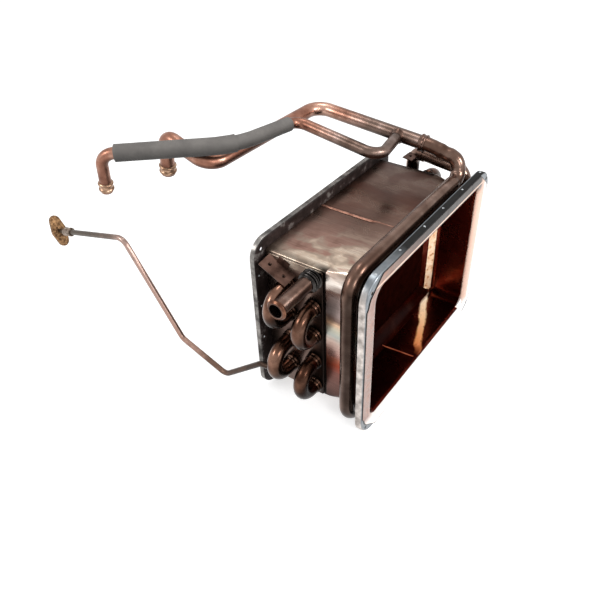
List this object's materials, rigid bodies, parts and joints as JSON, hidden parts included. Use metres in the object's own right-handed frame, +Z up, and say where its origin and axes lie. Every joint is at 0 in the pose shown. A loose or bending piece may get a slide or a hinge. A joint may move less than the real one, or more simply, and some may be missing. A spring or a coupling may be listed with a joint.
{
  "type": "furnace heat exchanger",
  "caption": "Copper heat exchanger with an open burner chamber, finned water core, coil round the chamber, steel flanges, insulated bypass, drain line and outlet stub.",
  "frame": {"origin": "middle of the burner flange's front face, on the gas axis", "axes": "+X out of the burner mouth along the gas axis, +Y across the width towards the coil's tail, +Z up"},
  "size_m": [0.4338, 0.3306, 0.2602],
  "materials": {
    "copper_sheet": "heat-tinted copper sheet",
    "copper_tube": "drawn copper",
    "copper_fin": "thin copper fin",
    "brass_fitting": "turned copper alloy",
    "coated_steel": "coated steel sheet",
    "plated_steel": "plated steel",
    "drawn_tube": "dull tinned tube",
    "foam": "closed-cell foam"
  },
  "bodies": {
    "root": {"bracket": "copper_tube", "burner_flange": "coated_steel", "bypass_fitting": "brass_fitting", "bypass_pipe": "copper_tube", "casing_half_left": "copper_sheet", "casing_half_right": "copper_sheet", "drain_flange": "drawn_tube", "drain_line": "drawn_tube", "drain_union": "drawn_tube", "exhaust_flange": "coated_steel", "feed_fitting": "brass_fitting", "feed_pipe": "copper_tube", "fin_pack": "copper_fin", "front_tube_1": "copper_tube", "front_tube_2": "copper_tube", "front_tube_3": "copper_tube", "front_tube_4": "copper_tube", "front_tube_5": "copper_tube", "insulation_far": "foam", "insulation_near": "foam", "joint_sleeve": "copper_tube", "left_bend_1": "copper_tube", "left_bend_2": "copper_tube", "left_bend_3": "copper_tube", "left_bend_4": "copper_tube", "outlet_collar": "plated_steel", "outlet_rim": "copper_tube", "outlet_stub": "copper_tube", "rear_tube_1": "copper_tube", "rear_tube_2": "copper_tube", "rear_tube_3": "copper_tube", "rear_tube_4": "copper_tube", "right_bend_1": "copper_tube", "right_bend_2": "copper_tube", "right_bend_3": "copper_tube", "right_bend_4": "copper_tube", "tube_plate_left": "copper_sheet", "tube_plate_right": "copper_sheet", "wrap_coil": "copper_tube"}
  },
  "joints": []
}
